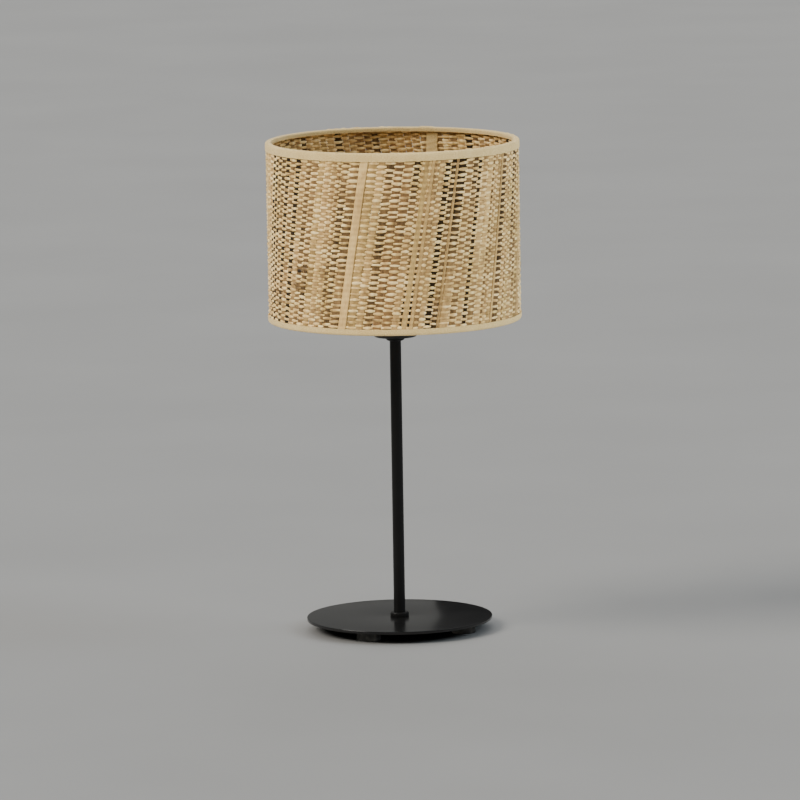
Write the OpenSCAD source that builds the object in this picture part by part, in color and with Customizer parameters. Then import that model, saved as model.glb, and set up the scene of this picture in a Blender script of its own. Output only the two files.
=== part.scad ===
// Table lamp with a woven drum shade: a round steel base plate on rubber feet, a slim stem on a
// threaded pipe, a screw-together lampholder, a drum shade on a wire frame, and a screw-in bulb.
// Millimetres, +Z up, origin on the floor under the middle of the base. The front is -Y.

/* [Shade] */
// Outside diameter of the shade over its edge trims
shade_d = 250; // [200:5:300]
// Height of the shade from edge to edge
shade_h = 178; // [140:2:220]
// How far the shade's lower edge hangs below the shoulder that carries it
shade_drop = 5; // [4:0.5:10]
// Thickness of the woven panel
panel_t = 1.6; // [1.2:0.1:2]
// Height of the top trim on the outside
top_trim_h = 8.2; // [6:0.1:12]
// Height of the bottom trim on the outside
bottom_trim_h = 6.5; // [5:0.1:12]
// Height of each trim's fold on the inside
trim_fold_h = 4.3; // [3.9:0.1:6]
// Thickness of the trim tape
trim_t = 0.6; // [0.4:0.1:0.8]
// Diameter of the wire in the shade's rings and arms
wire_d = 3.5; // [3:0.1:4]
// Number of arms that carry the shade
arm_count = 3; // [3:1:4]
// Direction of the first arm, from +X towards +Y
arm_angle = 30; // [0:5:90]
// Width of the tape over the panel's joint
seam_w = 12; // [8:1:20]
// Direction of the panel's joint, from +X towards +Y
seam_angle = 71; // [0:1:360]

/* [Base] */
// Diameter of the base plate
base_d = 184; // [150:2:220]
// Thickness of the base plate
base_t = 3; // [2:0.5:6]
// Diameter of a foot
foot_d = 24; // [16:1:30]
// Height from the floor to the underside of the base plate
foot_h = 9.5; // [8.5:0.5:14]
// Distance from the middle of the base to the middle of a foot
foot_circle_r = 70; // [50:1:76]
// Direction of the first foot, from +X towards +Y
foot_angle = -116; // [-180:1:0]

/* [Stem] */
// Distance from the base plate's top to the lampholder
stem_span = 280; // [200:5:400]
// Outside diameter of the stem
stem_d = 11.3; // [11.2:0.1:13]
// Outside diameter of the ring at each end of the stem
collar_d = 18.2; // [15:0.1:24]
// Height of the ring at each end of the stem
collar_h = 4; // [3:0.5:8]

/* [Lampholder] */
// Outside diameter of the lampholder's cap
cap_d = 42.6; // [42:0.1:46]
// Height of the lampholder's cap
cap_h = 22; // [21:0.5:26]
// Outside diameter of the barrel, over its thread
barrel_d = 39.2; // [39.2:0.1:39.6]
// Height of the barrel above the cap
barrel_h = 36; // [34:1:40]

/* [Bulb] */
// Greatest diameter of the bulb
bulb_d = 60; // [45:1:68]
// Length of the bulb from its contact to its crown
bulb_h = 108; // [100:1:120]

/* [Hidden] */
$fn = 96;

foot_count = 4;
tape_t = 0.5;             // adhesive disc on each foot
foot_round = 0.9;
base_edge = 0.5;          // bevel round the plate

pipe_d = 9.9;             // all-thread pipe, nominal 10 mm thread
pipe_bore_d = 8;
thread_r = 5;             // inside of a part screwed on the pipe
plate_hole_r = 5.2;
washer_t = 0.8;
washer_r = 11;
nut_t = 2.8;
nut_af = 14;              // across the flats
pipe_below_nut = 0.4;
bush_flange_t = 1;
bush_flange_r = 5.5;
bush_plug_r = 3.95;
bush_bore_r = 3.1;
bush_plug_h = 8;
stem_wall = 0.6;
collar_floor_t = 1;       // web at the collar's outer face that the stem stands on
collar_bevel = 0.6;

cap_wall = 2;
cap_floor_t = 2.5;
cap_bevel = 0.8;
boss_r = 8;
boss_top = 10;            // heights inside the lampholder are counted from the cap's underside
lock_screw_r = 1.7;
lock_screw_h = 4.6;
skirt_r = 19;             // part of the barrel that screws into the cap
skirt_z = 12;
cavity_r = 16.5;
thread_bore_z = 40;
thread_bore_r = 13.5;
mouth_h = 4;
mouth_r = 15;
block_r = 16.2;           // insulating disc that carries the contacts
block_z = 13;
block_t = 9;
strip_t = 0.5;            // spring strips of the contacts
strip_w = 5;
side_strip_r = 13.55;
side_strip_top = 39;
terminal_x = 11;
terminal_head_r = 2.8;
terminal_head_t = 2.2;
terminal_shank_r = 1.75;
terminal_shank_h = 7;

seat_gap = 0.2;           // play above and below the shade's centre ring
fitter_hole_r = 20.25;
fitter_r = 30;
fitter_t = 2;
fitter_lip_h = 4;
fitter_lip_t = 1.6;
clamp_hole_r = 20;
clamp_flange_r = 27;
clamp_flange_t = 2.5;
clamp_hub_r = 23;
clamp_h = 8;
clamp_grips = 18;
clamp_grip_r = 1.4;

tip_z = 33;               // bulb's contact when screwed home
tip_r = 4;
tip_t = 0.8;
insulator_top_z = 37.5;
insulator_foot_r = 4.5;
insulator_r = 9;
shell_r = 13.1;
shell_wall = 0.4;
shell_taper_h = 2.5;
shell_top_z = 57.3;
neck_r = 13.8;
neck_z = 62;
glass_wall = 1;
fit_gap = 0.05;           // between pieces that touch on a curved face

plate_top = foot_h + base_t;
pipe_bottom = foot_h - washer_t - nut_t - pipe_below_nut;
cap_z = plate_top + stem_span;
shoulder_z = cap_z + cap_h;
shade_z = shoulder_z - shade_drop;
shade_top = shade_z + shade_h;
shade_r = shade_d / 2;
panel_r = shade_r - trim_t;
panel_inner_r = panel_r - panel_t;
wire_r = wire_d / 2;
ring_r = panel_inner_r - wire_r - fit_gap;
fold_r = ring_r - wire_r - fit_gap;
low_ring_z = shade_z + trim_t + wire_r;
high_ring_z = shade_top - trim_t - wire_r;
fitter_z = shoulder_z + seat_gap;
arm_inner_z = fitter_z + fitter_lip_h / 2;
clamp_z = fitter_z + fitter_t + seat_gap;
glass_r = bulb_d / 2;
glass_centre_z = tip_z + bulb_h - glass_r;

// ---- shared shapes ----

// A ring of rectangular section, standing on z = 0.
module ring(outer_r, inner_r, height) {
    rotate_extrude() translate([inner_r, 0]) square([outer_r - inner_r, height]);
}

// A ring with one outer edge bevelled: the top edge, or the bottom edge if low is true.
module bevelled_ring(outer_r, inner_r, height, bevel, low = false) {
    top_b = low ? 0 : bevel;
    low_b = low ? bevel : 0;
    rotate_extrude() polygon([
        [inner_r, 0], [outer_r - low_b, 0], [outer_r, low_b],
        [outer_r, height - top_b], [outer_r - top_b, height], [inner_r, height]
    ]);
}

module wire_ring() {
    rotate_extrude() translate([ring_r, 0]) circle(r = wire_r, $fn = 48);
}

// Copies its child to the place of foot number i, or to every foot.
module at_foot(i) {
    rotate([0, 0, foot_angle + i * 360 / foot_count]) translate([foot_circle_r, 0, 0]) children();
}

// ---- base ----

module base_plate() {
    color("#1d1d1f") translate([0, 0, foot_h]) rotate_extrude() polygon([
        [plate_hole_r, 0], [base_d / 2 - base_edge, 0], [base_d / 2, base_edge],
        [base_d / 2, base_t - base_edge], [base_d / 2 - base_edge, base_t], [plate_hole_r, base_t]
    ]);
}

// A moulded rubber foot with a rounded tread edge.
module foot(i) {
    arc = [for (a = [-90 : 15 : 0])
        [foot_d / 2 - foot_round + foot_round * cos(a), foot_round + foot_round * sin(a)]];
    color("#141414") at_foot(i) rotate_extrude() polygon(concat(
        [[0, 0]], arc, [[foot_d / 2 - 0.3, foot_h - tape_t], [0, foot_h - tape_t]]
    ));
}

module foot_tape() {
    color("#3a3a3a") for (i = [0 : foot_count - 1])
        at_foot(i) translate([0, 0, foot_h - tape_t]) cylinder(r = foot_d / 2 - 1, h = tape_t);
}

module base_washer() {
    color("silver") translate([0, 0, foot_h - washer_t]) ring(washer_r, plate_hole_r, washer_t);
}

module base_nut() {
    color("goldenrod") translate([0, 0, foot_h - washer_t - nut_t]) difference() {
        cylinder(d = nut_af / cos(30), h = nut_t, $fn = 6);
        translate([0, 0, -1]) cylinder(r = thread_r, h = nut_t + 2);
    }
}

// Smooth liner where the mains lead enters the pipe from below.
module cable_bush() {
    color("#202020") translate([0, 0, pipe_bottom - bush_flange_t]) {
        ring(bush_flange_r, bush_bore_r, bush_flange_t);
        translate([0, 0, bush_flange_t]) ring(bush_plug_r, bush_bore_r, bush_plug_h);
    }
}

// ---- stem ----

module threaded_pipe() {
    color("goldenrod") translate([0, 0, pipe_bottom])
        ring(pipe_d / 2, pipe_bore_d / 2, cap_z + boss_top - pipe_bottom);
}

// Ring at the stem's end. The stem stands in its counterbore, on the web.
module collar() {
    color("#1d1d1f") {
        ring(collar_d / 2, plate_hole_r, collar_floor_t);
        translate([0, 0, collar_floor_t]) bevelled_ring(
            collar_d / 2, stem_d / 2 + fit_gap, collar_h - collar_floor_t, collar_bevel
        );
    }
}

module base_collar() {
    translate([0, 0, plate_top]) collar();
}

module top_collar() {
    translate([0, 0, cap_z]) mirror([0, 0, 1]) collar();
}

module stem_tube() {
    color("#1d1d1f") translate([0, 0, plate_top + collar_floor_t])
        ring(stem_d / 2, stem_d / 2 - stem_wall, stem_span - 2 * collar_floor_t);
}

// ---- lampholder ----

// Cup with a threaded boss for the pipe. Its rim is the shoulder that carries the shade.
module lampholder_cap() {
    color("#1d1d1f") translate([0, 0, cap_z]) difference() {
        union() {
            bevelled_ring(cap_d / 2, thread_r, cap_floor_t, cap_bevel, low = true);
            translate([0, 0, cap_floor_t])
                ring(cap_d / 2, cap_d / 2 - cap_wall, cap_h - cap_floor_t);
            translate([0, 0, cap_floor_t]) ring(boss_r, thread_r, boss_top - cap_floor_t);
        }
        translate([0, 0, (cap_floor_t + boss_top) / 2]) rotate([0, 90, 0])
            cylinder(r = lock_screw_r, h = boss_r + 1, $fn = 32);
    }
}

// Headless screw that stops the cap turning on the pipe.
module cap_lock_screw() {
    color("silver") translate([0, 0, cap_z + (cap_floor_t + boss_top) / 2]) rotate([0, 90, 0])
        translate([0, 0, thread_r + 0.1]) difference() {
            cylinder(r = lock_screw_r - fit_gap, h = lock_screw_h, $fn = 32);
            translate([0, 0, lock_screw_h - 1]) cylinder(r = 0.9, h = 2, $fn = 6);
        }
}

// Insulating disc under the bulb, with two holes for the terminal screws.
module terminal_block() {
    color("ivory") translate([0, 0, cap_z + block_z]) difference() {
        cylinder(r = block_r, h = block_t);
        for (side = [-1, 1]) translate([side * terminal_x, 0, -1])
            cylinder(r = terminal_shank_r + fit_gap, h = terminal_shank_h + 1 + fit_gap, $fn = 32);
    }
}

module terminal_screws() {
    color("goldenrod") translate([0, 0, cap_z + block_z]) for (side = [-1, 1])
        translate([side * terminal_x, 0, 0]) difference() {
            union() {
                translate([0, 0, -terminal_head_t])
                    cylinder(r = terminal_head_r, h = terminal_head_t, $fn = 48);
                cylinder(r = terminal_shank_r, h = terminal_shank_h, $fn = 32);
            }
            translate([-terminal_head_r - 1, -0.4, -terminal_head_t - 1])
                cube([2 * terminal_head_r + 2, 0.8, 1.8]);
        }
}

// Spring strip, bent up from the block to just under the bulb's tip.
module centre_contact() {
    low = cap_z + block_z + block_t;
    high = cap_z + tip_z - 0.4;
    color("goldenrod") translate([0, strip_w / 2, 0]) rotate([90, 0, 0])
        linear_extrude(strip_w) polygon([
            [-9, low], [-3, low], [4, high - strip_t], [4, high], [-3, high],
            [-3, high - strip_t], [2.9, high - strip_t], [-3.4, low + strip_t], [-9, low + strip_t]
        ]);
}

// Upright strip that meets the side of the bulb's screw shell.
module side_contact() {
    low = cap_z + block_z + block_t;
    high = cap_z + side_strip_top;
    color("goldenrod") translate([0, -strip_w / 2, 0]) translate([0, strip_w, 0])
        rotate([90, 0, 0]) linear_extrude(strip_w) polygon([
            [8.5, low], [side_strip_r + strip_t, low], [side_strip_r + strip_t, high],
            [side_strip_r, high], [side_strip_r, low + strip_t], [8.5, low + strip_t]
        ]);
}

// Screwed sleeve round the bulb's shell. Its shoulder closes the cap.
module lampholder_barrel() {
    top = cap_h + barrel_h;
    color("#1d1d1f") translate([0, 0, cap_z]) rotate_extrude() polygon([
        [cavity_r, skirt_z], [skirt_r, skirt_z], [skirt_r, cap_h], [barrel_d / 2, cap_h],
        [barrel_d / 2, top], [mouth_r, top], [mouth_r, top - mouth_h],
        [thread_bore_r, top - mouth_h], [thread_bore_r, thread_bore_z], [cavity_r, thread_bore_z]
    ]);
}

// Screwed ring that holds the shade down, with finger grips round its flange.
module shade_clamp_ring() {
    color("#1d1d1f") translate([0, 0, clamp_z]) difference() {
        union() {
            ring(clamp_flange_r, clamp_hole_r, clamp_flange_t);
            translate([0, 0, clamp_flange_t])
                ring(clamp_hub_r, clamp_hole_r, clamp_h - clamp_flange_t);
        }
        for (i = [0 : clamp_grips - 1]) rotate([0, 0, i * 360 / clamp_grips])
            translate([clamp_flange_r, 0, -1])
                cylinder(r = clamp_grip_r, h = clamp_flange_t + 2, $fn = 24);
    }
}

// ---- shade frame ----

// Pressed centre ring with an upturned rim that the arms are welded to.
module fitter_ring() {
    color("whitesmoke") translate([0, 0, fitter_z]) rotate_extrude() polygon([
        [fitter_hole_r, 0], [fitter_r, 0], [fitter_r, fitter_lip_h],
        [fitter_r - fitter_lip_t, fitter_lip_h], [fitter_r - fitter_lip_t, fitter_t],
        [fitter_hole_r, fitter_t]
    ]);
}

// One straight wire from the centre ring out and down to the middle of the bottom ring.
module arm_wire(radius, angle, from_r) {
    run = ring_r - fitter_r;
    fall = arm_inner_z - low_ring_z;
    slope = fall / run;
    length = (ring_r - from_r) * sqrt(1 + slope * slope);
    rotate([0, 0, angle]) translate([from_r, 0, arm_inner_z + (fitter_r - from_r) * slope])
        rotate([0, 90 + atan(slope), 0]) cylinder(r = radius, h = length, $fn = 48);
}

module fitter_arms() {
    color("whitesmoke") difference() {
        for (i = [0 : arm_count - 1])
            arm_wire(wire_r, arm_angle + i * 360 / arm_count, fitter_r - fitter_lip_t);
        translate([0, 0, fitter_z - 5]) cylinder(r = fitter_r, h = fitter_lip_h + 10);
        translate([0, 0, low_ring_z]) wire_ring();
    }
}

module bottom_wire_ring() {
    color("whitesmoke") translate([0, 0, low_ring_z]) wire_ring();
}

module top_wire_ring() {
    color("whitesmoke") translate([0, 0, high_ring_z]) wire_ring();
}

// ---- shade cover ----

// The woven panel, rolled into a drum.
module shade_panel() {
    color("#c8a877") translate([0, 0, shade_z + trim_t])
        ring(panel_r, panel_inner_r, shade_h - 2 * trim_t);
}

// Tape over the panel's joint, between the two trims, on the inside.
module seam_tape() {
    z_low = shade_z + trim_fold_h + 1.5;
    z_high = shade_top - trim_fold_h - 1.5;
    color("#e4d3ad") intersection() {
        translate([0, 0, z_low])
            ring(panel_inner_r - fit_gap, panel_inner_r - fit_gap - trim_t, z_high - z_low);
        rotate([0, 0, seam_angle]) translate([panel_inner_r / 2, -seam_w / 2, z_low])
            cube([panel_inner_r, seam_w, z_high - z_low]);
    }
}

// Tape folded over the panel's edge and the wire ring, open towards +Z.
module trim(outside_h) {
    rotate_extrude() polygon([
        [fold_r - trim_t, 0], [shade_r, 0], [shade_r, outside_h], [panel_r, outside_h],
        [panel_r, trim_t], [fold_r, trim_t], [fold_r, trim_fold_h], [fold_r - trim_t, trim_fold_h]
    ]);
}

module top_trim() {
    color("#e0cda2") translate([0, 0, shade_top]) mirror([0, 0, 1]) trim(top_trim_h);
}

// The bottom trim is cut out round each arm.
module bottom_trim() {
    color("#e0cda2") difference() {
        translate([0, 0, shade_z]) trim(bottom_trim_h);
        for (i = [0 : arm_count - 1])
            arm_wire(wire_r + 0.3, arm_angle + i * 360 / arm_count, fold_r - 4);
    }
}

// ---- bulb ----

module bulb_contact() {
    color("silver") translate([0, 0, cap_z + tip_z]) rotate_extrude() polygon([
        [0, 0], [tip_r - tip_t, 0], [tip_r, tip_t], [0, tip_t]
    ]);
}

module bulb_insulator() {
    color("#26262a") translate([0, 0, cap_z]) rotate_extrude() polygon([
        [0, tip_z + tip_t], [insulator_foot_r, tip_z + tip_t],
        [insulator_r, insulator_top_z], [0, insulator_top_z]
    ]);
}

// Rolled screw shell, tapered in at its foot.
module bulb_screw_shell() {
    foot_r = insulator_r + fit_gap;
    full_z = insulator_top_z + shell_taper_h;
    color("silver") translate([0, 0, cap_z]) rotate_extrude() polygon([
        [0, insulator_top_z], [foot_r, insulator_top_z], [shell_r, full_z],
        [shell_r, shell_top_z], [shell_r - shell_wall, shell_top_z],
        [shell_r - shell_wall, full_z], [foot_r - shell_wall, insulator_top_z + shell_wall],
        [0, insulator_top_z + shell_wall]
    ]);
}

// Outline of the globe from the shell's rim to the crown, drawn inset by t.
// The neck swells in a half cosine and meets the ball where the ball's own outline is upright enough.
function globe_outline(t) =
    let (
        meet = -38,
        meet_r = (glass_r - t) * cos(meet),
        meet_z = glass_centre_z + (glass_r - t) * sin(meet),
        r0 = neck_r - t
    )
    concat(
        [[r0, shell_top_z]],
        [for (s = [0 : 0.125 : 0.999])
            [r0 + (meet_r - r0) * (s * s * (1.9 - 0.9 * s)), neck_z + (meet_z - neck_z) * s]],
        [for (a = [meet : 8 : 89]) [
            (glass_r - t) * cos(a), glass_centre_z + (glass_r - t) * sin(a)
        ]],
        [[0, glass_centre_z + glass_r - t]]
    );

function reversed(list) = [for (i = [len(list) - 1 : -1 : 0]) list[i]];

module bulb_glass() {
    color("white", 0.85) translate([0, 0, cap_z]) rotate_extrude()
        polygon(concat(globe_outline(0), reversed(globe_outline(glass_wall))));
}

base_plate();
foot(0);  // foot_1
foot(1);  // foot_2
foot(2);  // foot_3
foot(3);  // foot_4
foot_tape();
base_washer();
base_nut();
cable_bush();
threaded_pipe();
base_collar();
stem_tube();
top_collar();
lampholder_cap();
cap_lock_screw();
terminal_block();
terminal_screws();
centre_contact();
side_contact();
lampholder_barrel();
shade_clamp_ring();
fitter_ring();
fitter_arms();
bottom_wire_ring();
top_wire_ring();
shade_panel();
seam_tape();
top_trim();
bottom_trim();
bulb_contact();
bulb_insulator();
bulb_screw_shell();
bulb_glass();
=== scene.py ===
# %% [markdown]
# # A table lamp with a woven drum shade
# The lamp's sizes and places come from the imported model, so this script only gives it its looks.
# Loading it first means that every later piece can ask the model where it belongs.

import math
import random

import bmesh
import bpy
from mathutils import Matrix, Vector


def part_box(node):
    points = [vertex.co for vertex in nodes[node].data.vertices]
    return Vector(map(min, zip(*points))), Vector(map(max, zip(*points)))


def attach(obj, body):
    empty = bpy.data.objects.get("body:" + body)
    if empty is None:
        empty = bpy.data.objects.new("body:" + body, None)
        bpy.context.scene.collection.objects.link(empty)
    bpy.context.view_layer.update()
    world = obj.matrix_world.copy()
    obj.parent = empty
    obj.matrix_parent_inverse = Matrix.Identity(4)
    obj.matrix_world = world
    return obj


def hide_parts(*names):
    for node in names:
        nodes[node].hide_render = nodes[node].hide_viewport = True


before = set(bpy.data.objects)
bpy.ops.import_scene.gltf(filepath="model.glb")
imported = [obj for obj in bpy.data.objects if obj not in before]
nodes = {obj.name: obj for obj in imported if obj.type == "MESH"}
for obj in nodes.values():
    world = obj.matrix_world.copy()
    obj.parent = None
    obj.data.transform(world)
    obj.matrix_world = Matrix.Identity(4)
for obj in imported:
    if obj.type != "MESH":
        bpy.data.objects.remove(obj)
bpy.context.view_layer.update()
MM = 0.001

# %% [markdown]
# ## The camera
# The view is that of a long lens: far away, a little above the lamp, and turned by less than a degree.
# A long lens keeps the shade's two rims almost equally open. A Track To constraint could aim the
# camera but not roll it, so the camera's axes are worked out and written straight into its matrix.

# %% Camera
def linked(name, data):
    """A new object with that data, placed in the scene."""
    made = bpy.data.objects.new(name, data)
    bpy.context.scene.collection.objects.link(made)
    return made


CAMERA_DISTANCE = 6.528
CAMERA_ELEVATION = math.radians(8.37)
CAMERA_ROLL = -0.0158
base_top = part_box("base_plate")[1].z
target = Vector((0.0037, 0.0, base_top + 0.2162))

forward = Vector((0, math.cos(CAMERA_ELEVATION), -math.sin(CAMERA_ELEVATION)))
level_right = Vector((1, 0, 0))
level_up = level_right.cross(forward)
right = math.cos(CAMERA_ROLL) * level_right + math.sin(CAMERA_ROLL) * level_up
up = math.cos(CAMERA_ROLL) * level_up - math.sin(CAMERA_ROLL) * level_right

camera = linked("camera", bpy.data.cameras.new("camera"))
camera.data.lens = 297.1
camera.data.sensor_width = 36
camera.data.clip_end = 100
axes = Matrix((right, up, -forward)).transposed().to_4x4()
camera.matrix_world = Matrix.Translation(target - forward * CAMERA_DISTANCE) @ axes
bpy.context.scene.camera = camera
print("camera stands at", tuple(round(v, 3) for v in camera.matrix_world.translation))

# %% [markdown]
# ## Small helpers for materials
# Every finish is a tree of shader nodes. `add` makes a node and sets its inputs by name, to a plain
# value or another node's output. `new_material` starts a finish, and the numbers that are the same all
# over the piece go straight on the shader.

# %% Material helpers
def add(tree, kind, inputs=None, **settings):
    node = tree.nodes.new(kind)
    for key, value in settings.items():
        setattr(node, key, value)
    for key, value in (inputs or {}).items():
        if isinstance(value, bpy.types.NodeSocket):
            tree.links.new(value, node.inputs[key])
        else:
            node.inputs[key].default_value = value
    return node


def new_material(name, **shader_inputs):
    material = bpy.data.materials.new(name)
    material.use_nodes = True
    tree = material.node_tree
    shader = tree.nodes["Principled BSDF"]
    for key, value in shader_inputs.items():
        shader.inputs[key.replace("_", " ")].default_value = value
    return material, tree, shader


def rgb(r, g, b):
    """A paint colour as a screen shows it, from 0 to 255, made linear."""
    linear = [c / 255 / 12.92 if c <= 10 else ((c / 255 + 0.055) / 1.055) ** 2.4 for c in (r, g, b)]
    return (*linear, 1)


def noise_at(tree, place, scale, detail=3, stretch=(1, 1, 1)):
    """Noise over a place. A stretch above 1 makes the pattern finer along that axis."""
    shaped = add(tree, "ShaderNodeMapping", {"Vector": place, "Scale": stretch})
    return add(tree, "ShaderNodeTexNoise", {
        "Vector": shaped.outputs["Vector"], "Scale": scale, "Detail": detail
    }).outputs["Fac"]


def object_noise(tree, scale, detail=3, stretch=(1, 1, 1)):
    place = add(tree, "ShaderNodeTexCoord").outputs["Object"]
    return noise_at(tree, place, scale, detail, stretch)


def between(tree, value, low, high, start=0.3, end=0.7):
    """Maps noise, which mostly lies from 0.3 to 0.7, on to the range from low to high."""
    return add(tree, "ShaderNodeMapRange", {
        "Value": value, "From Min": start, "From Max": end, "To Min": low, "To Max": high
    }).outputs["Result"]


def sum_of(tree, first, second, operation="ADD"):
    return add(tree, "ShaderNodeMath", {0: first, 1: second}, operation=operation).outputs[0]


def colour_ramp(tree, factor, stops):
    ramp = add(tree, "ShaderNodeValToRGB", {"Fac": factor})
    elements = ramp.color_ramp.elements
    elements[0].position, elements[0].color = stops[0]
    elements[1].position, elements[1].color = stops[-1]
    for position, colour in stops[1:-1]:
        elements.new(position).color = colour
    return ramp.outputs["Color"]


def paint(tree, shader, factor, *colours):
    """Colours spread evenly over the usual range of noise."""
    last = len(colours) - 1
    stops = [(0.3 + 0.4 * i / last, rgb(*c)) for i, c in enumerate(colours)]
    tree.links.new(colour_ramp(tree, factor, stops), shader.inputs["Base Color"])


def bump(tree, shader, height, distance, strength=0.5):
    made = add(tree, "ShaderNodeBump", {
        "Height": height, "Distance": distance, "Strength": strength
    })
    tree.links.new(made.outputs["Normal"], shader.inputs["Normal"])

# %% [markdown]
# ## Floor
# The lamp stands on a plain pale floor, large enough to fill the view. It isn't part of the lamp.

# %% Floor
floor_mesh = bpy.data.meshes.new("floor")
FLOOR_HALF = 14
corners = [(x * FLOOR_HALF, y * FLOOR_HALF, 0) for x, y in ((-1, -1), (1, -1), (1, 1), (-1, 1))]
floor_mesh.from_pydata(corners, [], [(0, 1, 2, 3)])
floor = linked("floor", floor_mesh)
floor_paint, tree, shader = new_material("floor", Roughness=0.7, Specular_IOR_Level=0.2)
paint(tree, shader, object_noise(tree, 3), (136, 136, 135), (140, 140, 139))
floor_mesh.materials.append(floor_paint)
print("floor", 2 * FLOOR_HALF, "metres wide")

# %% [markdown]
# ## Light
# The light is that of a bright room: a soft sky, a broad key light from the left, a weaker one from
# the right, and a wide one from behind that draws soft shadows forward. Two low soft boxes light the
# outside of the drum but can't reach inside it, which keeps the inner wall darker. They leave out the
# floor, or each would draw a bright pool on it. The sky is dark near the horizon, because black metal
# looks black only if it has something dark to mirror. A card behind the lamp's left lights no surface,
# but it shows in the gloss of the base plate.

# %% Sky
world = bpy.data.worlds.new("studio")
bpy.context.scene.world = world
world.use_nodes = True
sky = world.node_tree
direction = add(sky, "ShaderNodeTexCoord").outputs["Generated"]
parts = add(sky, "ShaderNodeSeparateXYZ", {"Vector": direction}).outputs
from_left = between(sky, parts["X"], 1.15, 0.75, -0.7, 0.7)
from_behind = between(sky, parts["Y"], 0.65, 1.1, -0.8, 0.4)
by_height = colour_ramp(sky, parts["Z"], [
    (0.0, (0.015, 0.015, 0.015, 1)), (0.30, (0.035, 0.035, 0.035, 1)),
    (0.6, (0.50, 0.50, 0.50, 1)), (1.0, (0.70, 0.70, 0.70, 1))
])
background = sky.nodes["Background"]
sky.links.new(by_height, background.inputs["Color"])
sky.links.new(sum_of(sky, from_left, from_behind, "MULTIPLY"), background.inputs["Strength"])


# %% Lamps
def light(name, kind, **settings):
    data = bpy.data.lights.new(name, kind)
    for key, value in settings.items():
        setattr(data, key, value)
    return linked(name, data)


def sun(name, azimuth, elevation, softness, strength, colour):
    """A soft distant light. Azimuth is counted from the front towards +X."""
    lamp = light(name, "SUN", angle=math.radians(softness), energy=strength, color=colour)
    a, e = math.radians(azimuth), math.radians(elevation)
    away = Vector((math.sin(a) * math.cos(e), -math.cos(a) * math.cos(e), math.sin(e)))
    lamp.rotation_euler = away.to_track_quat("Z", "Y").to_euler()
    return lamp


def soft_box(name, place, turn, width, height, power, colour):
    """A rectangular light at a place, turned by degrees about X, Y and Z, that the camera can't see."""
    box = light(name, "AREA", shape="RECTANGLE", size=width, size_y=height, energy=power,
                color=colour)
    box.location = place
    box.rotation_euler = [math.radians(v) for v in turn]
    box.visible_camera = False
    return box


sun("key", -70, 40, 28, 2.9, (1.0, 0.95, 0.87))
sun("side", 85, 34, 30, 1.5, (0.80, 0.91, 1.0)).visible_glossy = False
sun("back", 178, 46, 70, 1.7, (1.0, 1.0, 1.0)).visible_glossy = False

all_but_floor = bpy.data.collections.new("all_but_floor")
all_but_floor.objects.link(floor)
all_but_floor.collection_objects[0].light_linking.link_state = "EXCLUDE"
BOX_DISTANCE, BOX_HEIGHT = 3.0, 0.25
for name, azimuth, power, colour in (("front_box", -22, 60, (1.0, 0.95, 0.86)),
                                     ("right_box", 84, 70, (0.92, 0.96, 1.0))):
    a = math.radians(azimuth)
    place = (BOX_DISTANCE * math.sin(a), -BOX_DISTANCE * math.cos(a), BOX_HEIGHT)
    box = soft_box(name, place, (90, 0, azimuth), 1.6, 0.4, power, colour)
    box.visible_glossy = False
    box.light_linking.receiver_collection = all_but_floor

card = soft_box("card", (-0.61, 0.42, 0.42), (-90, 0, 0), 1.3, 0.8, 0.6, (1.0, 1.0, 0.95))
card.visible_diffuse = False

# %% [markdown]
# ## Formulas as node trees
# The woven panel follows a rule: where a weft strand passes over a warp, its neighbours pass under.
# Geometry Nodes can work that rule out for every point at once. A `Field` wraps a node's output, so
# that a formula in this script reads like arithmetic while it builds the nodes.

# %% Fields
class Field:
    """A number at every point of a mesh: the output of one node."""

    def __init__(self, tree, socket):
        self.tree = tree
        self.socket = socket

    def math(self, operation, *others):
        node = self.tree.nodes.new("ShaderNodeMath")
        node.operation = operation
        for place, value in enumerate((self, *others)):
            if isinstance(value, Field):
                self.tree.links.new(value.socket, node.inputs[place])
            else:
                node.inputs[place].default_value = value
        return Field(self.tree, node.outputs[0])

    def __add__(self, other):
        return self.math("ADD", other)

    def __sub__(self, other):
        return self.math("SUBTRACT", other)

    def __mul__(self, other):
        return self.math("MULTIPLY", other)

    def __truediv__(self, other):
        return self.math("DIVIDE", other)

    def cos(self):
        return self.math("COSINE")

    def sin(self):
        return self.math("SINE")

    def towards(self, other, share):
        """This value at share 0, the other at share 1."""
        return self + (other - self) * share


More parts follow.
